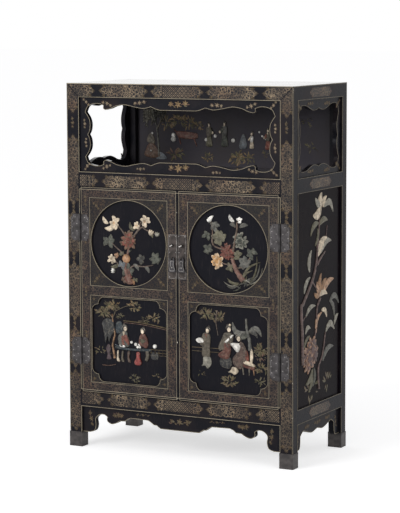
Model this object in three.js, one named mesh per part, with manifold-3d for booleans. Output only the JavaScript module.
// Black lacquer display cabinet: an open display bay with shaped frets above a two-door cupboard, on four legs.
// Millimetres, +Z up. The front faces -Y. The origin lies on the floor, under the middle of the whole object.
import * as THREE from 'three';
import { mergeVertices } from 'three/addons/utils/BufferGeometryUtils.js';
import { ConvexGeometry } from 'three/addons/geometries/ConvexGeometry.js';
import Module from 'manifold-3d';

const wasm = await Module();
wasm.setup();

// Driving dimensions of the frame
const cabinetWidth = 830;
const cabinetDepth = 410;
const cabinetHeight = 1220;
const postWidth = 46;
const postDepth = 35;
const topRailHeight = 46;
const displayHeight = 246;
const midRailHeight = 48;
const bottomRailHeight = 48;
const legHeight = 139;

// Mortise and tenon joints between rails and posts
const tenonLength = 20;
const sideTenonLength = 14;
const tenonThickness = 10;
const tenonSetback = 10;
const tenonShoulder = 9;

// Panels, their tongues and the grooves that take them
const clearance = 0.3;
const tongueDepth = 6;
const panelThickness = 10;
const panelRecess = 7;
const floorThickness = 14;
const floorTongueThickness = 6;
const floorTongueDrop = 5;

// Shaped frets round the display bay, and shaped aprons between the legs
const fretThickness = 15;
const fretRecess = 7;
const apronThickness = 18;
const apronRecess = 9;
const rearApronHeight = 42;
const curveSteps = 2;

// Metal shoes on the feet
const shoeHeight = 50;
const shoeWall = 1.5;
const shoeFloor = 1.5;

// Doors
const doorGap = 1.5;
const doorThickness = 24;
const doorStileWidth = 38.5;
const doorRailHeight = 37;
const doorMidRailHeight = 35;
const doorTenonLength = 18;
const doorTenonThickness = 8;
const doorTenonSetback = 8;
const doorTenonShoulder = 7;
const doorTongueDepth = 5;
const doorTongueThickness = 6;
const doorPanelThickness = 16;
const fieldRecess = 8;
const roundelRim = 2.875;
const roundelSteps = 48;
const sceneRim = 3;
const sceneCornerSize = 42;
const scallopSteps = 5;
const stopLipHeight = 11;

// Surface hinges
const leafThickness = 1.6;
const leafWidth = 30;
const leafHeight = 88;
const leafNotch = 7;
const knuckleRadius = 4;
const knuckleSteps = 10;
const knuckleGap = 0.5;
const middleKnuckleHeight = 34;
const pinRadius = 1.9;
const pinClearance = 0.25;
const pinHeadRadius = 3.6;
const pinHeadHeight = 2.4;
const upperHingeAboveDoorMiddle = 208.5;
const lowerHingeBelowDoorMiddle = 205;

// Lock plates, lock eyes and drop pulls
const lockPlateThickness = 1.6;
const lockPlateWidth = 32;
const lockPlateHeight = 145;
const lockPlateAboveDoorMiddle = 129;
const lockPlateCorner = 4;
const lockPlateEdge = 0.6;
const fittingFromMeetingEdge = 16.5;
const lockEyeAbovePlateMiddle = 37;
const lockEyeBore = 2.6;
const lockEyeWall = 2.4;
const lockEyeThickness = 4.5;
const lockEyeReach = 12.4;
const pullEyeBelowPlateMiddle = 4;
const pullEyeBore = 1.8;
const pullEyeWall = 1.6;
const pullEyeThickness = 3;
const pullEyeReach = 7.6;
const roseRadius = 7;
const roseThickness = 1.2;
const eyeSteps = 12;
const pullWidth = 26;
const pullHeight = 46;
const pullThickness = 3;
const pullBarRadius = 1.4;
const pullWindowWidth = 8;
const pullWindowHeight = 6.5;

// Carved stones laid on the lacquer
const stoneHeight = 5;
const stoneSeat = 1;
const displayStoneHeight = 4;
const stemSteps = 1;
const leafSteps = 4;
const plainRoundSteps = 8;
const stepsPerLobe = 2;
const lobeNotchShare = 0.76;
const stemTaperShare = 0.35;

// Places worked out from the driving dimensions
const outerX = cabinetWidth / 2;
const outerY = cabinetDepth / 2;
const innerX = outerX - postWidth;
const innerY = outerY - postDepth;
const displayTop = cabinetHeight - topRailHeight;
const displayBottom = displayTop - displayHeight;
const cupboardTop = displayBottom - midRailHeight;
const cupboardBottom = legHeight + bottomRailHeight;
const frontReach = lockPlateThickness + lockEyeReach;
const middleShift = (frontReach - shoeWall) / 2;

// Materials
const material = (color, roughness, metalness) => new THREE.MeshStandardMaterial({ color, roughness, metalness });
const lacquer = material(0x26242a, 0.22, 0.0);
const giltLacquer = material(0x3a332c, 0.35, 0.1);
const patinatedMetal = material(0x4b4a4c, 0.5, 0.8);

const cabinet = new THREE.Group();
cabinet.position.y = middleShift;

function addPiece(name, geometry, finish) {
  const mesh = new THREE.Mesh(geometry, finish);
  mesh.name = name;
  cabinet.add(mesh);
}

// Solids from geometry, and geometry from solids
function solidOf(geometry) {
  const bare = geometry.clone();
  bare.deleteAttribute('normal');
  bare.deleteAttribute('uv');
  const merged = mergeVertices(bare);
  return new wasm.Manifold(new wasm.Mesh({
    numProp: 3,
    vertProperties: merged.attributes.position.array,
    triVerts: new Uint32Array(merged.index.array),
  }));
}

function geometryOf(solid) {
  const mesh = solid.getMesh();
  const geometry = new THREE.BufferGeometry();
  geometry.setAttribute('position', new THREE.BufferAttribute(mesh.vertProperties, mesh.numProp));
  geometry.setIndex(new THREE.BufferAttribute(mesh.triVerts, 1));
  return geometry;
}

function join(...geometries) {
  return geometryOf(geometries.map(solidOf).reduce((whole, part) => whole.add(part)));
}

function cut(geometry, ...tools) {
  return geometryOf(tools.map(solidOf).reduce((whole, tool) => whole.subtract(tool), solidOf(geometry)));
}

// A box from its two corners, given in any order
function block(cornerA, cornerB) {
  const box = new THREE.Box3().setFromPoints([new THREE.Vector3(...cornerA), new THREE.Vector3(...cornerB)]);
  const size = box.getSize(new THREE.Vector3());
  const middle = box.getCenter(new THREE.Vector3());
  return new THREE.BoxGeometry(size.x, size.y, size.z).translate(middle.x, middle.y, middle.z);
}

// A flat outline extruded from a plane. along and up lie in the plane, and the outline grows along their cross product
function plate(shape, thickness, origin, along, up, steps = curveSteps) {
  const a = new THREE.Vector3(...along);
  const u = new THREE.Vector3(...up);
  const place = new THREE.Matrix4().makeBasis(a, u, a.clone().cross(u)).setPosition(...origin);
  const geometry = new THREE.ExtrudeGeometry(shape, { depth: thickness, bevelEnabled: false, curveSegments: steps });
  return geometry.applyMatrix4(place);
}

const acrossFront = [1, 0, 0];
const upward = [0, 0, 1];

// Which grooves a frame member needs: every panel edge that runs into it, grown by the clearance
const grooves = [];

function groove(cornerA, cornerB) {
  const box = new THREE.Box3().setFromPoints([new THREE.Vector3(...cornerA), new THREE.Vector3(...cornerB)]);
  box.expandByScalar(clearance);
  grooves.push(block(box.min.toArray(), box.max.toArray()));
}

// A panel on edge: thin along one axis, with its other edges in grooves
function frontBackPanelBox(sideY, recess, thickness, bottom, top) {
  const face = sideY * (outerY - recess);
  const back = sideY * (outerY - recess - thickness);
  return [[-innerX - tongueDepth, face, bottom], [innerX + tongueDepth, back, top]];
}

function sidePanelBox(sideX, recess, thickness, bottom, top) {
  const face = sideX * (outerX - recess);
  const back = sideX * (outerX - recess - thickness);
  return [[face, -innerY - tongueDepth, bottom], [back, innerY + tongueDepth, top]];
}

// Closed outlines from shares
function mirroredOutline(stretches, halfWidth, toPoint) {
  const right = stretches.map((stretch) => stretch.map(toPoint));
  const left = right.map((stretch) => stretch.map((p) => new THREE.Vector2(-p.x, p.y)).reverse()).reverse();
  return { right, left };
}

function follow(path, stretches) {
  for (const stretch of stretches) {
    if (stretch.length === 2) path.lineTo(stretch[1].x, stretch[1].y);
    else path.splineThru(stretch.slice(1));
  }
}

// Upper right quarter of the front opening, as shares of half the bay's width and height, from the middle of the top
const frontFretShares = [
  [[0, 0.683], [0.185, 0.683]],
  [[0.185, 0.683], [0.225, 0.715], [0.271, 0.768]],
  [[0.271, 0.768], [0.345, 0.72], [0.43, 0.75], [0.535, 0.808], [0.62, 0.775], [0.68, 0.705], [0.735, 0.667]],
  [[0.735, 0.667], [0.757, 0.7], [0.757, 0.785]],
  [[0.757, 0.785], [0.8, 0.825], [0.86, 0.82], [0.915, 0.75], [0.94, 0.6]],
  [[0.94, 0.6], [0.905, 0.45], [0.89, 0.3], [0.895, 0.12], [0.915, 0]],
];

// The same for the openings in the two ends
const sideFretShares = [
  [[0, 0.752], [0.1, 0.715], [0.235, 0.705], [0.38, 0.75], [0.52, 0.82], [0.66, 0.85], [0.78, 0.84]],
  [[0.78, 0.84], [0.86, 0.75], [0.9, 0.6]],
  [[0.9, 0.6], [0.85, 0.45], [0.818, 0.3], [0.825, 0.12], [0.86, 0]],
];

// Right half of an apron's lower edge, as shares of half its width and of its depth below the rail
const frontApronShares = [
  [[0, 0.605], [0.195, 0.605]],
  [[0.195, 0.605], [0.22, 0.54], [0.236, 0.49]],
  [[0.236, 0.49], [0.266, 0.485]],
  [[0.266, 0.485], [0.29, 0.41], [0.325, 0.335]],
  [[0.325, 0.335], [0.5, 0.322]],
  [[0.5, 0.322], [0.535, 0.38], [0.56, 0.46]],
  [[0.56, 0.46], [0.615, 0.472]],
  [[0.615, 0.472], [0.65, 0.56], [0.7, 0.617], [0.74, 0.55], [0.752, 0.46], [0.748, 0.36]],
  [[0.748, 0.36], [0.775, 0.29], [0.81, 0.285], [0.845, 0.35], [0.868, 0.48], [0.862, 0.7], [0.88, 0.92], [0.93, 1]],
  [[0.93, 1], [1, 1]],
];

const sideApronShares = [
  [[0, 0.455], [0.1, 0.5], [0.235, 0.545], [0.38, 0.5], [0.52, 0.42], [0.64, 0.372], [0.765, 0.52]],
  [[0.765, 0.52], [0.765, 0.7], [0.79, 0.93], [0.83, 1]],
  [[0.83, 1], [1, 1]],
];

// Frame members
const corners = [[-1, -1, 'front_left'], [1, -1, 'front_right'], [-1, 1, 'rear_left'], [1, 1, 'rear_right']];
const railHeights = { mid: [cupboardTop, displayBottom], bottom: [legHeight, cupboardBottom] };

function frontTenon(sideX, sideY, [bottom, top], spare) {
  const outer = sideY * (outerY - tenonSetback + spare);
  const inner = sideY * (outerY - tenonSetback - tenonThickness - spare);
  const reach = innerX + tenonLength + spare;
  return block([0, outer, bottom + tenonShoulder - spare], [sideX * reach, inner, top - tenonShoulder + spare]);
}

function sideTenon(sideX, sideY, [bottom, top], spare) {
  const outer = sideX * (outerX - tenonSetback + spare);
  const inner = sideX * (outerX - tenonSetback - tenonThickness - spare);
  const reach = innerY + sideTenonLength + spare;
  return block([outer, 0, bottom + tenonShoulder - spare], [inner, sideY * reach, top - tenonShoulder + spare]);
}

function points(list) {
  return new ConvexGeometry(list.map((p) => new THREE.Vector3(...p)));
}

function post(sideX, sideY) {
  const ox = sideX * outerX;
  const oy = sideY * outerY;
  const ix = sideX * innerX;
  const iy = sideY * innerY;
  const foot = [[ox, oy], [ix, oy], [ox, iy], [ix, iy]];
  const body = points([
    ...foot.map(([x, y]) => [x, y, shoeFloor]),
    ...foot.map(([x, y]) => [x, y, displayTop]),
    [ox, oy, cabinetHeight],
  ]);
  const mortises = Object.values(railHeights).flatMap((heights) => [
    frontTenon(sideX, sideY, heights, clearance),
    sideTenon(sideX, sideY, heights, clearance),
  ]);
  return cut(body, ...mortises, ...grooves);
}

function topRailAcross(sideY) {
  const oy = sideY * outerY;
  const iy = sideY * innerY;
  const ends = [-innerX, innerX];
  const section = [[oy, cabinetHeight], [iy, cabinetHeight], [oy, displayTop], [iy, displayTop]];
  const body = points([
    ...ends.flatMap((x) => section.map(([y, z]) => [x, y, z])),
    [-outerX, oy, cabinetHeight],
    [outerX, oy, cabinetHeight],
  ]);
  return cut(body, ...grooves);
}

function topRailEnd(sideX) {
  const ox = sideX * outerX;
  const ix = sideX * innerX;
  const ends = [-innerY, innerY];
  const section = [[ox, cabinetHeight], [ix, cabinetHeight], [ox, displayTop], [ix, displayTop]];
  const body = points([
    ...ends.flatMap((y) => section.map(([x, z]) => [x, y, z])),
    [ox, -outerY, cabinetHeight],
    [ox, outerY, cabinetHeight],
  ]);
  return cut(body, ...grooves);
}

function railAcross(sideY, heights, ...extra) {
  const body = block([-innerX, sideY * outerY, heights[0]], [innerX, sideY * innerY, heights[1]]);
  return cut(join(body, frontTenon(-1, sideY, heights, 0), frontTenon(1, sideY, heights, 0), ...extra), ...grooves);
}

function railEnd(sideX, heights) {
  const body = block([sideX * outerX, -innerY, heights[0]], [sideX * innerX, innerY, heights[1]]);
  return cut(join(body, sideTenon(sideX, -1, heights, 0), sideTenon(sideX, 1, heights, 0)), ...grooves);
}

// A level panel whose top is flush with its rails, with a tongue all round
function levelPanel(top) {
  const tongueTop = top - floorTongueDrop;
  const tongueBottom = tongueTop - floorTongueThickness;
  const x = innerX - clearance;
  const y = innerY - clearance;
  groove([-innerX - tongueDepth, -y, tongueBottom], [innerX + tongueDepth, y, tongueTop]);
  groove([-x, -innerY - tongueDepth, tongueBottom], [x, innerY + tongueDepth, tongueTop]);
  return join(
    block([-x, -y, top - floorThickness], [x, y, top]),
    block([-innerX - tongueDepth, -y, tongueBottom], [innerX + tongueDepth, y, tongueTop]),
    block([-x, -innerY - tongueDepth, tongueBottom], [x, innerY + tongueDepth, tongueTop]),
  );
}

// A fret or an apron board: a full board with the shaped opening cut through it
function shapedBoard(boardBox, opening, origin, along, depth) {
  return cut(block(...boardBox), plate(opening, depth, origin, along, upward));
}

function fretOpening(shares, halfWidth) {
  const halfHeight = displayHeight / 2;
  const { right, left } = mirroredOutline(shares, halfWidth, ([u, v]) => new THREE.Vector2(u * halfWidth, v * halfHeight));
  const flip = (stretches) => stretches.map((s) => s.map((p) => new THREE.Vector2(p.x, -p.y)).reverse()).reverse();
  const shape = new THREE.Shape().moveTo(right[0][0].x, right[0][0].y);
  follow(shape, right);
  follow(shape, flip(right));
  follow(shape, flip(left));
  follow(shape, left);
  return shape;
}

function apronOpening(shares, halfWidth, depth) {
  const toPoint = ([u, v]) => new THREE.Vector2(u * halfWidth, -v * depth);
  const { right, left } = mirroredOutline(shares, halfWidth, toPoint);
  const below = -2 * depth;
  const shape = new THREE.Shape().moveTo(right[0][0].x, right[0][0].y);
  follow(shape, right.slice(0, -1));
  const footX = right[right.length - 1][0].x;
  shape.lineTo(footX, below);
  shape.lineTo(-footX, below);
  shape.lineTo(left[0][1].x, left[0][1].y);
  follow(shape, left.slice(1));
  return shape;
}

const fretBottom = displayBottom - tongueDepth;
const fretTop = displayTop + tongueDepth;
const fretMiddle = (displayTop + displayBottom) / 2;
const apronBottom = shoeHeight + clearance;
const apronTop = legHeight + tongueDepth;
const apronDepth = legHeight - apronBottom;
const overrun = 5;

const boards = [];

function addFret(name, box, along, origin, shares, halfWidth) {
  groove(...box);
  boards.push([name, shapedBoard(box, fretOpening(shares, halfWidth), origin, along, fretThickness + 2 * overrun)]);
}

function addApron(name, box, along, origin, shares, halfWidth) {
  groove(...box);
  const opening = apronOpening(shares, halfWidth, apronDepth);
  boards.push([name, shapedBoard(box, opening, origin, along, apronThickness + 2 * overrun)]);
}

addFret(
  'fret_front',
  frontBackPanelBox(-1, fretRecess, fretThickness, fretBottom, fretTop),
  acrossFront,
  [0, -outerY + fretRecess + fretThickness + overrun, fretMiddle],
  frontFretShares,
  innerX,
);
addApron(
  'apron_front',
  frontBackPanelBox(-1, apronRecess, apronThickness, apronBottom, apronTop),
  acrossFront,
  [0, -outerY + apronRecess + apronThickness + overrun, legHeight],
  frontApronShares,
  innerX,
);
for (const [sideX, name] of [[-1, 'left'], [1, 'right']]) {
  const along = [0, sideX, 0];
  addFret(
    'fret_' + name,
    sidePanelBox(sideX, fretRecess, fretThickness, fretBottom, fretTop),
    along,
    [sideX * (outerX - fretRecess - fretThickness - overrun), 0, fretMiddle],
    sideFretShares,
    innerY,
  );
  addApron(
    'apron_' + name,
    sidePanelBox(sideX, apronRecess, apronThickness, apronBottom, apronTop),
    along,
    [sideX * (outerX - apronRecess - apronThickness - overrun), 0, legHeight],
    sideApronShares,
    innerY,
  );
}
const rearApronBox = frontBackPanelBox(1, apronRecess, apronThickness, legHeight - rearApronHeight, apronTop);
groove(...rearApronBox);
boards.push(['apron_rear', block(...rearApronBox)]);

// Plain panels in their grooves
const cupboardPanelBottom = cupboardBottom - tongueDepth;
const cupboardPanelTop = cupboardTop + tongueDepth;
const plainPanels = [
  ['side_panel_left', sidePanelBox(-1, panelRecess, panelThickness, cupboardPanelBottom, cupboardPanelTop)],
  ['side_panel_right', sidePanelBox(1, panelRecess, panelThickness, cupboardPanelBottom, cupboardPanelTop)],
  ['cupboard_back', frontBackPanelBox(1, panelRecess, panelThickness, cupboardPanelBottom, cupboardPanelTop)],
  ['display_back', frontBackPanelBox(1, panelRecess, panelThickness, fretBottom, fretTop)],
];
for (const [, box] of plainPanels) groove(...box);
const levelPanels = [
  ['top_panel', levelPanel(cabinetHeight)],
  ['display_floor', levelPanel(displayBottom)],
  ['cupboard_floor', levelPanel(cupboardBottom)],
];

// Lips on the front rails that stop the doors
const stopFront = -outerY + doorThickness + clearance;
const upperStop = block([-innerX, stopFront, cupboardTop - stopLipHeight], [innerX, -innerY, cupboardTop]);
const lowerStop = block([-innerX, stopFront, cupboardBottom], [innerX, -innerY, cupboardBottom + stopLipHeight]);

for (const [sideX, sideY, name] of corners) addPiece('post_' + name, post(sideX, sideY), giltLacquer);
addPiece('top_rail_front', topRailAcross(-1), giltLacquer);
addPiece('top_rail_rear', topRailAcross(1), lacquer);
addPiece('top_rail_left', topRailEnd(-1), lacquer);
addPiece('top_rail_right', topRailEnd(1), lacquer);
for (const [level, heights] of Object.entries(railHeights)) {
  const stop = level === 'mid' ? upperStop : lowerStop;
  addPiece(level + '_rail_front', railAcross(-1, heights, stop), giltLacquer);
  addPiece(level + '_rail_rear', railAcross(1, heights), lacquer);
  addPiece(level + '_rail_left', railEnd(-1, heights), lacquer);
  addPiece(level + '_rail_right', railEnd(1, heights), lacquer);
}
for (const [name, geometry] of levelPanels) addPiece(name, geometry, lacquer);
for (const [name, geometry] of boards) addPiece(name, geometry, lacquer);

// Metal shoes: four cups that the posts stand in
function shoe(sideX, sideY) {
  const out = shoeWall;
  const cup = block(
    [sideX * (outerX + out), sideY * (outerY + out), 0],
    [sideX * (innerX - out), sideY * (innerY - out), shoeHeight],
  );
  return cut(cup, block(
    [sideX * outerX, sideY * outerY, shoeFloor],
    [sideX * innerX, sideY * innerY, shoeHeight + overrun],
  ));
}
for (const [sideX, sideY, name] of corners) addPiece('shoe_' + name, shoe(sideX, sideY), patinatedMetal);

// Doors. Each is made for its own side, with x measured outwards from the cabinet's middle
const doorInner = doorGap / 2;
const doorOuter = innerX - doorGap;
const doorBottom = cupboardBottom + doorGap;
const doorTop = cupboardTop - doorGap;
const doorMiddle = (doorBottom + doorTop) / 2;
const doorFront = -outerY;
const doorBack = doorFront + doorThickness;
const fieldInner = doorInner + doorStileWidth;
const fieldOuter = doorOuter - doorStileWidth;
const fieldHeight = (doorTop - doorBottom - 2 * doorRailHeight - doorMidRailHeight) / 2;
const lowerField = [doorBottom + doorRailHeight, doorBottom + doorRailHeight + fieldHeight];
const upperField = [doorTop - doorRailHeight - fieldHeight, doorTop - doorRailHeight];
const fieldMiddleX = (fieldInner + fieldOuter) / 2;
const fieldHalfWidth = (fieldOuter - fieldInner) / 2;
const fieldGround = doorFront + fieldRecess;
const roundelRadius = Math.min(fieldHalfWidth, fieldHeight / 2) - roundelRim;
const tongueBack = doorFront + doorPanelThickness;
const tongueFront = tongueBack - doorTongueThickness;
const upperMiddle = (upperField[0] + upperField[1]) / 2;
const lowerMiddle = (lowerField[0] + lowerField[1]) / 2;
const doorRails = {
  top: [upperField[1], doorTop],
  mid: [lowerField[1], upperField[0]],
  bottom: [doorBottom, lowerField[0]],
};

function doorTenons(side, [bottom, top], spare) {
  const front = doorFront + doorTenonSetback - spare;
  const back = doorFront + doorTenonSetback + doorTenonThickness + spare;
  const reach = doorTenonLength + spare;
  return block(
    [side * (fieldInner - reach), front, bottom + doorTenonShoulder - spare],
    [side * (fieldOuter + reach), back, top - doorTenonShoulder + spare],
  );
}

function fieldBox(side, [bottom, top], front, back, spread) {
  return block(
    [side * (fieldInner - spread), front, bottom - spread],
    [side * (fieldOuter + spread), back, top + spread],
  );
}

function doorGrooves(side) {
  const spread = doorTongueDepth + clearance;
  const front = tongueFront - clearance;
  const back = tongueBack + clearance;
  return [upperField, lowerField].map((field) => fieldBox(side, field, front, back, spread));
}

// A door panel is a board flush with its frame, with a tongue all round, a sunk field and stones laid in it
function doorPanel(side, field, pocket, laid) {
  const board = fieldBox(side, field, doorFront, doorFront + doorPanelThickness, -clearance);
  const tongue = fieldBox(side, field, tongueFront, tongueBack, doorTongueDepth);
  return join(cut(join(board, tongue), pocket), ...laid);
}

function roundPocket(side) {
  const depth = fieldRecess + overrun;
  const pocket = new THREE.CylinderGeometry(roundelRadius, roundelRadius, depth, roundelSteps);
  return pocket.translate(side * fieldMiddleX, fieldGround - depth / 2, upperMiddle);
}

// A square field whose corners are two scallops that meet in a point
const cornerPointShare = 0.57;
const scallopShares = [0.1, 0.62];

function scallopedPocket(side) {
  const x = fieldHalfWidth - sceneRim;
  const z = fieldHeight / 2 - sceneRim;
  const size = sceneCornerSize;
  const [near, far] = scallopShares.map((share) => share * size);
  const point = cornerPointShare * size;
  const shape = new THREE.Shape().moveTo(x, z - size);
  shape.quadraticCurveTo(x - near, z - far, x - point, z - point);
  shape.quadraticCurveTo(x - far, z - near, x - size, z);
  shape.lineTo(size - x, z);
  shape.quadraticCurveTo(far - x, z - near, point - x, z - point);
  shape.quadraticCurveTo(near - x, z - far, -x, z - size);
  shape.lineTo(-x, size - z);
  shape.quadraticCurveTo(near - x, far - z, point - x, point - z);
  shape.quadraticCurveTo(far - x, near - z, size - x, -z);
  shape.lineTo(x - size, -z);
  shape.quadraticCurveTo(x - far, near - z, x - point, point - z);
  shape.quadraticCurveTo(x - near, far - z, x, size - z);
  shape.closePath();
  const origin = [side * fieldMiddleX, fieldGround, lowerMiddle];
  return plate(shape, fieldRecess + overrun, origin, acrossFront, upward, scallopSteps);
}

// Hinges. The pin stands in front of the gap between door and post
const pinX = (innerX + doorOuter) / 2;
const pinY = doorFront - knuckleRadius;
const hingeMiddles = {
  upper: doorMiddle + upperHingeAboveDoorMiddle,
  lower: doorMiddle - lowerHingeBelowDoorMiddle,
};

function barrel(side, bottom, top, radius, steps) {
  const rod = new THREE.CylinderGeometry(radius, radius, top - bottom, steps).rotateX(Math.PI / 2);
  return rod.translate(side * pinX, pinY, (bottom + top) / 2);
}

// The flat of a leaf, with stepped corners; outward is +1 on the post and -1 on the door
function leafFlat(side, outward, middle) {
  const near = knuckleRadius + knuckleGap;
  const far = near + leafWidth;
  const half = leafHeight / 2;
  const shape = new THREE.Shape().moveTo(near, -half);
  shape.lineTo(far - leafNotch, -half);
  shape.lineTo(far - leafNotch, leafNotch - half);
  shape.quadraticCurveTo(far, leafNotch - half, far, 2 * leafNotch - half);
  shape.lineTo(far, half - 2 * leafNotch);
  shape.quadraticCurveTo(far, half - leafNotch, far - leafNotch, half - leafNotch);
  shape.lineTo(far - leafNotch, half);
  shape.lineTo(near, half);
  shape.closePath();
  const flat = new THREE.ExtrudeGeometry(shape, { depth: leafThickness, bevelEnabled: false, curveSegments: 4 });
  const turned = solidOf(flat.rotateX(Math.PI / 2));
  const facing = side * outward < 0 ? turned.mirror([1, 0, 0]) : turned;
  return geometryOf(facing.translate([side * pinX, doorFront, middle]));
}

function knuckles(side, outward, stretches) {
  const reach = pinX + outward * (knuckleRadius + 2 * knuckleGap);
  return stretches.flatMap(([bottom, top]) => [
    barrel(side, bottom, top, knuckleRadius, knuckleSteps),
    block([side * pinX, doorFront, bottom], [side * reach, doorFront - leafThickness, top]),
  ]);
}

function hingeDoorLeaf(side, middle) {
  const half = middleKnuckleHeight / 2;
  const bore = barrel(side, middle - leafHeight, middle + leafHeight, pinRadius + pinClearance, knuckleSteps);
  const leaf = join(leafFlat(side, -1, middle), ...knuckles(side, -1, [[middle - half, middle + half]]));
  return cut(leaf, bore);
}

// The post's leaf carries the pin, riveted through its two knuckles
function hingePostLeaf(side, middle) {
  const half = leafHeight / 2;
  const inner = middleKnuckleHeight / 2 + knuckleGap;
  const pin = barrel(side, middle - half, middle + half, pinRadius, knuckleSteps);
  const heads = [
    barrel(side, middle - half - pinHeadHeight, middle - half, pinHeadRadius, knuckleSteps),
    barrel(side, middle + half, middle + half + pinHeadHeight, pinHeadRadius, knuckleSteps),
  ];
  const stretches = [[middle - half, middle - inner], [middle + inner, middle + half]];
  return join(leafFlat(side, 1, middle), ...knuckles(side, 1, stretches), pin, ...heads);
}

// Lock plate, its two eyes and the pull that hangs in the lower one
const lockPlateMiddle = doorMiddle + lockPlateAboveDoorMiddle;
const plateFront = doorFront - lockPlateThickness;
const fittingX = doorInner + fittingFromMeetingEdge;
const lockEyeZ = lockPlateMiddle + lockEyeAbovePlateMiddle;
const pullEyeZ = lockPlateMiddle - pullEyeBelowPlateMiddle;

function lockPlate(side) {
  const half = lockPlateHeight / 2;
  const inner = doorInner + lockPlateEdge;
  const outer = inner + lockPlateWidth;
  const step = lockPlateCorner;
  const shape = new THREE.Shape().moveTo(inner, -half);
  shape.lineTo(outer - step, -half);
  shape.quadraticCurveTo(outer - step, step - half, outer, step - half);
  shape.lineTo(outer, half - step);
  shape.quadraticCurveTo(outer - step, half - step, outer - step, half);
  shape.lineTo(inner, half);
  shape.closePath();
  const flat = new THREE.ExtrudeGeometry(shape, { depth: lockPlateThickness, bevelEnabled: false, curveSegments: 3 });
  const turned = solidOf(flat.rotateX(Math.PI / 2));
  const facing = side < 0 ? turned.mirror([1, 0, 0]) : turned;
  return geometryOf(facing.translate([0, doorFront, lockPlateMiddle]));
}

// An eye that stands out of the plate, with its hole along x
function eye(side, z, bore, wall, thickness, reach) {
  const radius = bore + wall;
  const middleY = plateFront - reach + radius;
  const ring = new THREE.CylinderGeometry(radius, radius, thickness, eyeSteps).rotateZ(Math.PI / 2);
  const shank = block([-thickness / 2, 0, -radius + wall], [thickness / 2, plateFront - middleY, radius - wall]);
  const hole = new THREE.CylinderGeometry(bore, bore, thickness + overrun, eyeSteps).rotateZ(Math.PI / 2);
  return cut(join(ring, shank), hole).translate(side * fittingX, middleY, z);
}

function rose(side, z) {
  const disc = new THREE.CylinderGeometry(roseRadius, roseRadius, roseThickness, 2 * eyeSteps);
  return disc.translate(side * fittingX, plateFront - roseThickness / 2, z);
}

// Right half of the pull's body, as shares of half its width and of its length below the bar
const pullShares = [[0.62, 0], [0.7, -0.2], [0.62, -0.45], [0.8, -0.72], [1, -0.86], [1, -1], [0, -1]];

function pull(side) {
  const half = pullWidth / 2;
  const shape = new THREE.Shape();
  const right = pullShares.map(([u, v]) => [u * half, v * pullHeight]);
  const left = right.slice(0, -1).map(([u, v]) => [-u, v]).reverse();
  shape.moveTo(...right[0]);
  for (const [u, v] of [...right.slice(1), ...left]) shape.lineTo(u, v);
  shape.closePath();
  const flat = new THREE.ExtrudeGeometry(shape, { depth: pullThickness, bevelEnabled: false });
  flat.translate(0, 0, -pullThickness / 2).rotateX(Math.PI / 2);
  const shoulder = pullThickness / 2;
  const window = block(
    [-pullWindowWidth / 2, -overrun, shoulder + overrun],
    [pullWindowWidth / 2, overrun, -pullWindowHeight],
  );
  const barLength = 2 * right[0][0];
  const bar = new THREE.CylinderGeometry(pullBarRadius, pullBarRadius, barLength, eyeSteps).rotateZ(Math.PI / 2);
  const pivotY = plateFront - pullEyeReach + pullEyeBore + pullEyeWall;
  return join(cut(flat, window), bar).translate(side * fittingX, pivotY, pullEyeZ);
}

// Carved stones. Places and sizes are shares of the field that carries them
const leftRoundelShares = {
  rounds: [
    [-0.39, 0.48, 0.19, 6], [0.23, 0.47, 0.12, 5], [0.45, 0.56, 0.155, 6], [0.6, 0.32, 0.075, 4],
    [0.755, 0.285, 0.07, 4], [0.01, 0.115, 0.24, 8], [-0.55, 0.02, 0.14, 5], [-0.46, -0.38, 0.16, 6],
    [-0.42, -0.66, 0.08, 4], [-0.07, -0.355, 0.127, 5], [0.28, -0.35, 0.12, 5], [0.68, -0.31, 0.125, 6],
  ],
  leaves: [
    [-0.69, 0.59, -0.5, 0.46, 0.1], [-0.62, 0.34, -0.4, 0.4, 0.1], [0.1, -0.4, 0.3, -0.2, 0.1],
    [-0.3, -0.55, -0.12, -0.6, 0.1], [-0.4, -0.5, -0.2, -0.42, 0.08],
  ],
  stems: [
    [0.13, 0, -0.9, -0.1, -0.66, -0.07, -0.4, 0.0, 0.0],
    [0.04, -0.04, -0.67, 0.1, -0.52, 0.38, -0.52, 0.63, -0.47],
    [0.045, 0.13, 0.2, 0.31, 0.38, 0.46, 0.33, 0.72, 0.25],
    [0.045, -0.14, 0.2, -0.28, 0.37],
    [0.035, -0.12, -0.28, -0.36, -0.1],
    [0.035, -0.1, -0.6, -0.3, -0.5, -0.44, -0.35],
  ],
  bodies: [[[-0.25, -0.72], [-0.1, -0.6], [0.08, -0.66], [0.2, -0.82], [0.12, -0.94], [-0.1, -0.96], [-0.22, -0.88]]],
};

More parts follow.
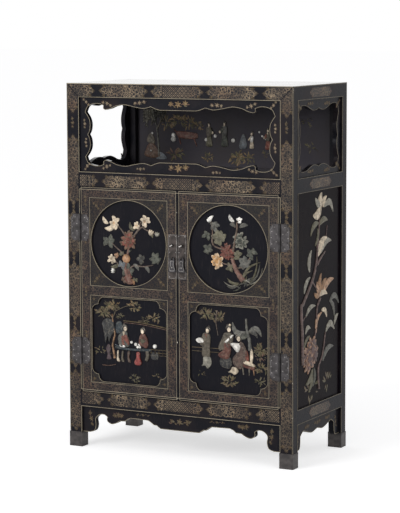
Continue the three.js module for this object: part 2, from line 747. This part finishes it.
const rightRoundelShares = {
  rounds: [
    [-0.47, 0.665, 0.12, 4], [0.1, 0.73, 0.075, 3], [0.28, 0.69, 0.07, 5], [-0.26, 0.26, 0.17, 7],
    [0.29, 0.22, 0.21, 7], [-0.03, -0.03, 0.2, 7], [-0.31, -0.27, 0.19, 5], [-0.33, 0.5, 0.12, 5],
    [-0.57, 0.28, 0.1, 4], [-0.54, -0.03, 0.12, 5], [0.22, -0.1, 0.1, 5], [0.05, -0.38, 0.13, 5],
    [0.38, -0.29, 0.15, 6], [0.57, -0.07, 0.11, 5],
  ],
  leaves: [
    [0.02, 0.57, 0.17, 0.52, 0.08], [0.27, 0.5, 0.47, 0.55, 0.09], [0.3, -0.76, 0.6, -0.45, 0.05],
    [0.3, -0.76, 0.8, -0.25, 0.05], [0.26, -0.76, -0.05, -0.66, 0.05], [0.25, -0.8, 0.5, -0.88, 0.06],
    [0.2, -0.84, -0.02, -0.84, 0.05],
  ],
  stems: [
    [0.13, 0.07, -0.2, 0.18, -0.46, 0.33, -0.7],
    [0.04, 0.12, 0.0, 0.2, 0.45, 0.2, 0.6, 0.26, 0.66],
    [0.04, -0.2, 0.02, -0.4, 0.08, -0.42, 0.4, -0.4, 0.6],
  ],
  bodies: [],
};

const leftSceneShares = {
  rounds: [
    [-0.54, 0.34, 0.2, 7], [-0.63, 0.76, 0.17, 6], [-0.78, 0.6, 0.12, 6], [-0.35, 0.84, 0.14, 6],
    [0.13, 0.83, 0.14, 6], [-0.1, 0.3, 0.07, 0], [0.355, 0.255, 0.062, 0], [0.665, -0.04, 0.055, 0],
    [0.065, -0.005, 0.045, 0], [0.18, -0.05, 0.05, 0], [0.285, -0.05, 0.045, 0], [0.65, -0.24, 0.12, 5],
    [-0.72, -0.22, 0.13, 5],
  ],
  leaves: [
    [-0.28, -0.2, -0.28, -0.48, 0.09], [-0.16, -0.2, -0.16, -0.48, 0.09], [-0.02, -0.2, -0.02, -0.48, 0.09],
    [0.22, -0.18, 0.22, -0.52, 0.19], [0.43, -0.16, 0.43, -0.42, 0.13], [0.3, 0.56, 0.85, 0.8, 0.08],
    [-0.1, -0.82, 0.3, -0.8, 0.1], [-0.75, -0.6, -0.35, -0.55, 0.06], [0.5, -0.7, 0.85, -0.68, 0.06],
  ],
  stems: [
    [0.09, -0.36, -0.55, -0.42, -0.14, -0.38, 0.21, -0.45, 0.6],
    [0.03, -0.33, -0.15, 0.52, -0.15],
    [0.02, 0.52, -0.17, 0.97, -0.17],
    [0.02, 0.52, -0.25, 0.97, -0.25],
    [0.03, -0.1, 0.46, 0.35, 0.42, 0.97, 0.35],
  ],
  bodies: [
    [[-0.33, -0.17], [-0.34, 0.05], [-0.22, 0.22], [-0.06, 0.22], [0.02, 0.02], [0.05, -0.08], [-0.1, -0.16]],
    [[0.27, -0.02], [0.28, 0.14], [0.4, 0.2], [0.5, 0.1], [0.48, -0.13], [0.33, -0.12]],
  ],
};

const rightSceneShares = {
  rounds: [
    [-0.56, 0.39, 0.06, 0], [0.02, 0.49, 0.066, 0], [0.245, 0.25, 0.06, 0], [0.14, -0.47, 0.1, 5],
    [0.8, 0.02, 0.14, 6], [0.72, -0.15, 0.12, 6], [-0.5, -0.42, 0.1, 5],
  ],
  leaves: [
    [-0.85, 0.12, -0.6, 0.19, 0.08], [-0.05, 0.2, 0.09, 0.38, 0.08], [0.08, 0.6, 0.42, 0.6, 0.11],
    [0.44, 0.5, 0.8, 0.42, 0.14], [0.25, 0.35, 0.42, 0.55, 0.12], [0.57, -0.2, 0.57, 0.08, 0.06],
    [0.0, -0.7, 0.35, -0.68, 0.11], [-0.7, -0.6, -0.4, -0.58, 0.06],
  ],
  stems: [
    [0.05, 0.49, 0.28, 0.46, 0.5, 0.45, 0.74],
    [0.06, 0.38, -0.22, 0.62, -0.28, 0.77, -0.3],
    [0.04, 0.5, -0.28, 0.48, -0.5],
    [0.04, 0.74, -0.28, 0.73, -0.5],
    [0.02, -0.95, -0.02, -0.2, -0.02],
    [0.02, -0.95, -0.1, -0.2, -0.1],
  ],
  bodies: [
    [[-0.65, -0.35], [-0.66, 0.05], [-0.62, 0.28], [-0.54, 0.33], [-0.46, 0.2], [-0.48, -0.15], [-0.42, -0.36], [-0.54, -0.42]],
    [[-0.27, -0.15], [-0.23, 0.12], [-0.12, 0.36], [0.04, 0.43], [0.14, 0.24], [0.1, -0.08], [0.05, -0.26], [-0.14, -0.27]],
    [[0.14, 0.1], [0.28, 0.18], [0.4, 0.1], [0.45, -0.15], [0.38, -0.4], [0.18, -0.46], [0.06, -0.28]],
  ],
};

const sideShares = {
  rounds: [[-0.02, 0.87, 0.24, 5], [0.16, 0.07, 0.2, 5], [-0.31, -0.52, 0.36, 9]],
  leaves: [
    [0.2, 0.87, 0.6, 0.82, 0.15], [-0.4, 0.63, 0.1, 0.67, 0.12], [0.08, 0.68, 0.4, 0.67, 0.1],
    [-0.1, 0.42, 0.35, 0.49, 0.19], [0.33, 0.48, 0.62, 0.51, 0.06], [-0.5, 0.28, -0.4, 0.45, 0.11],
    [-0.65, 0.1, -0.42, 0.19, 0.14], [-0.62, -0.13, -0.26, -0.09, 0.06], [-0.62, -0.3, -0.38, -0.25, 0.07],
    [-0.62, -0.42, -0.35, -0.36, 0.07], [-0.24, 0.01, 0.05, 0.05, 0.12], [0.28, 0.04, 0.7, 0.07, 0.12],
    [-0.07, -0.33, 0.15, -0.17, 0.1], [0.12, -0.17, 0.4, -0.22, 0.12], [0.5, -0.22, 0.64, -0.1, 0.08],
    [0.62, -0.1, 0.9, -0.11, 0.08], [0.38, -0.37, 0.64, -0.31, 0.1], [0.6, -0.31, 0.82, -0.42, 0.09],
    [0.78, -0.4, 0.94, -0.33, 0.08], [-0.88, -0.6, -0.68, -0.57, 0.06], [0.3, -0.65, 0.75, -0.59, 0.08],
    [-0.6, -0.7, -0.46, -0.85, 0.12], [-0.4, -0.72, -0.3, -0.8, 0.1],
  ],
  stems: [
    [0.07, -0.72, -0.56, -0.75, -0.1, -0.74, -0.01, -0.49, 0.1, -0.28, 0.19, -0.22, 0.31, 0.01, 0.35],
    [0.06, -0.22, 0.31, -0.19, 0.45, -0.08, 0.65],
    [0.04, -0.02, -0.86, 0.01, -0.67, 0.25, -0.53, 0.33, -0.38],
    [0.05, 0.1, 0.02, 0.0, -0.08, -0.05, -0.3],
  ],
  bodies: [],
};

const displayShares = {
  rounds: [
    [-0.62, -0.27, 0.03, 0], [-0.24, 0.14, 0.016, 0], [-0.085, 0.22, 0.016, 0], [0.01, -0.27, 0.024, 0],
    [0.36, 0.0, 0.016, 0], [-0.6, -0.72, 0.05, 5], [-0.28, -0.77, 0.045, 5], [0.02, -0.77, 0.06, 6],
    [0.14, -0.74, 0.05, 5], [0.33, -0.62, 0.035, 5],
  ],
  leaves: [
    [-0.19, -0.13, -0.13, -0.15, 0.02], [-0.9, 0.2, -0.84, 0.5, 0.03], [-0.86, 0.15, -0.86, 0.5, 0.03],
    [-0.74, 0.2, -0.4, 0.22, 0.04],
  ],
  stems: [
    [0.035, -0.77, -0.8, -0.78, -0.33, -0.8, 0.1, -0.84, 0.5],
    [0.02, -0.56, -0.12, -0.39, -0.12],
    [0.02, -0.59, -0.07, -0.53, -0.4],
    [0.02, -0.41, -0.12, -0.39, -0.42],
  ],
  bodies: [
    [[-0.92, -0.78], [-0.9, -0.45], [-0.84, -0.41], [-0.77, -0.6], [-0.72, -0.79]],
    [[-0.265, -0.45], [-0.26, -0.1], [-0.245, 0.08], [-0.225, 0.05], [-0.215, -0.2], [-0.21, -0.46]],
    [[-0.1, -0.45], [-0.095, -0.1], [-0.085, 0.12], [-0.06, 0.1], [-0.05, -0.2], [-0.04, -0.46]],
    [[0.06, -0.42], [0.08, -0.1], [0.11, -0.05], [0.15, -0.2], [0.17, -0.42]],
    [[0.165, -0.02], [0.2, -0.1], [0.245, -0.3], [0.23, -0.42], [0.18, -0.4]],
    [[0.34, -0.5], [0.345, -0.2], [0.37, -0.12], [0.4, -0.3], [0.41, -0.5]],
  ],
};

function roundShape([u, v, radius, lobes], toPlane, scale) {
  const shape = new THREE.Shape();
  const steps = lobes ? lobes * stepsPerLobe : plainRoundSteps;
  const middle = toPlane(u, v);
  for (let i = 0; i < steps; i += 1) {
    const angle = 2 * Math.PI * i / steps;
    const notch = lobes && i % stepsPerLobe === 0 ? lobeNotchShare : 1;
    const r = radius * scale * notch;
    const x = middle.x + r * Math.cos(angle);
    const y = middle.y + r * Math.sin(angle);
    if (i) shape.lineTo(x, y);
    else shape.moveTo(x, y);
  }
  return shape;
}

function leafShape([u0, v0, u1, v1, width], toPlane, scale) {
  const start = toPlane(u0, v0);
  const along = toPlane(u1, v1).sub(start);
  const across = new THREE.Vector2(-along.y, along.x).normalize().multiplyScalar(width * scale / 2);
  const edge = (i, side) => {
    const t = i / leafSteps;
    const swell = side * Math.sin(Math.PI * t);
    return start.clone().addScaledVector(along, t).addScaledVector(across, swell);
  };
  const outline = [];
  for (let i = 0; i <= leafSteps; i += 1) outline.push(edge(i, 1));
  for (let i = leafSteps - 1; i > 0; i -= 1) outline.push(edge(i, -1));
  return new THREE.Shape(outline);
}

function stemShape([width, ...places], toPlane, scale) {
  const route = [];
  for (let i = 0; i < places.length; i += 2) route.push(toPlane(places[i], places[i + 1]));
  const line = new THREE.SplineCurve(route);
  const count = stemSteps * (route.length - 1);
  const edge = (i, side) => {
    const tangent = line.getTangent(i / count);
    const half = side * width * scale * (1 - stemTaperShare * i / count) / 2;
    return line.getPoint(i / count).add(new THREE.Vector2(-tangent.y * half, tangent.x * half));
  };
  const outline = [];
  for (let i = 0; i <= count; i += 1) outline.push(edge(i, 1));
  for (let i = count; i >= 0; i -= 1) outline.push(edge(i, -1));
  return new THREE.Shape(outline);
}

function bodyShape(places, toPlane) {
  const outline = places.map(([u, v]) => toPlane(u, v));
  const shape = new THREE.Shape().moveTo(outline[0].x, outline[0].y);
  shape.splineThru([...outline.slice(1), outline[0]]);
  return shape;
}

function stones(shares, halfWidth, halfHeight, mirror, height, origin, along) {
  const toPlane = (u, v) => new THREE.Vector2(mirror * u * halfWidth, v * halfHeight);
  const shapes = [
    ...shares.rounds.map((row) => roundShape(row, toPlane, halfWidth)),
    ...shares.leaves.map((row) => leafShape(row, toPlane, halfWidth)),
    ...shares.stems.map((row) => stemShape(row, toPlane, halfWidth)),
    ...shares.bodies.map((row) => bodyShape(row, toPlane)),
  ];
  const outward = new THREE.Vector3(...along).cross(new THREE.Vector3(...upward));
  const seat = new THREE.Vector3(...origin).addScaledVector(outward, -stoneSeat).toArray();
  return shapes.map((shape) => plate(shape, height + stoneSeat, seat, along, upward, 1));
}

const doorStones = {
  left: [leftRoundelShares, leftSceneShares],
  right: [rightRoundelShares, rightSceneShares],
};

function addDoor(side, name) {
  const prefix = name + '_door_';
  const stileCuts = Object.values(doorRails).map((heights) => doorTenons(side, heights, clearance));
  const panelGrooves = doorGrooves(side);
  const stile = (from, to) => block([side * from, doorFront, doorBottom], [side * to, doorBack, doorTop]);
  addPiece(prefix + 'hinge_stile', cut(stile(fieldOuter, doorOuter), ...stileCuts, ...panelGrooves), giltLacquer);
  addPiece(prefix + 'meeting_stile', cut(stile(doorInner, fieldInner), ...stileCuts, ...panelGrooves), giltLacquer);
  for (const [level, heights] of Object.entries(doorRails)) {
    const rail = block([side * fieldInner, doorFront, heights[0]], [side * fieldOuter, doorBack, heights[1]]);
    addPiece(prefix + level + '_rail', cut(join(rail, doorTenons(side, heights, 0)), ...panelGrooves), giltLacquer);
  }
  const [roundel, scene] = doorStones[name];
  const middleX = side * fieldMiddleX;
  const sceneHalf = fieldHeight / 2;
  const roundelStones = stones(
    roundel, roundelRadius, roundelRadius, 1, stoneHeight, [middleX, fieldGround, upperMiddle], acrossFront,
  );
  const sceneStones = stones(
    scene, fieldHalfWidth, sceneHalf, 1, stoneHeight, [middleX, fieldGround, lowerMiddle], acrossFront,
  );
  addPiece(prefix + 'upper_panel', doorPanel(side, upperField, roundPocket(side), roundelStones), lacquer);
  addPiece(prefix + 'lower_panel', doorPanel(side, lowerField, scallopedPocket(side), sceneStones), lacquer);
  addPiece(prefix + 'lock_plate', join(
    lockPlate(side),
    eye(side, lockEyeZ, lockEyeBore, lockEyeWall, lockEyeThickness, lockEyeReach),
    rose(side, pullEyeZ),
    eye(side, pullEyeZ, pullEyeBore, pullEyeWall, pullEyeThickness, pullEyeReach),
  ), patinatedMetal);
  addPiece(prefix + 'pull', pull(side), patinatedMetal);
  for (const [level, z] of Object.entries(hingeMiddles)) {
    addPiece(prefix + level + '_hinge_leaf', hingeDoorLeaf(side, z), patinatedMetal);
    addPiece(name + '_post_' + level + '_hinge_leaf', hingePostLeaf(side, z), patinatedMetal);
  }
}

addDoor(-1, 'left');
addDoor(1, 'right');

// Plain panels, with stones on the two ends of the cupboard and on the back of the display bay
const sideMiddle = (cupboardTop + cupboardBottom) / 2;
const sideHalfHeight = (cupboardTop - cupboardBottom) / 2;
const sideGround = outerX - panelRecess;
const displayGround = outerY - panelRecess - panelThickness;

function endStones(side) {
  const origin = [side * sideGround, 0, sideMiddle];
  return stones(sideShares, innerY, sideHalfHeight, side, stoneHeight, origin, [0, side, 0]);
}

const displayStones = stones(
  displayShares, innerX, displayHeight / 2, 1, displayStoneHeight, [0, displayGround, fretMiddle], acrossFront,
);
const laidStones = { side_panel_left: endStones(-1), side_panel_right: endStones(1), display_back: displayStones };
for (const [name, box] of plainPanels) addPiece(name, join(block(...box), ...(laidStones[name] || [])), lacquer);

export default cabinet;
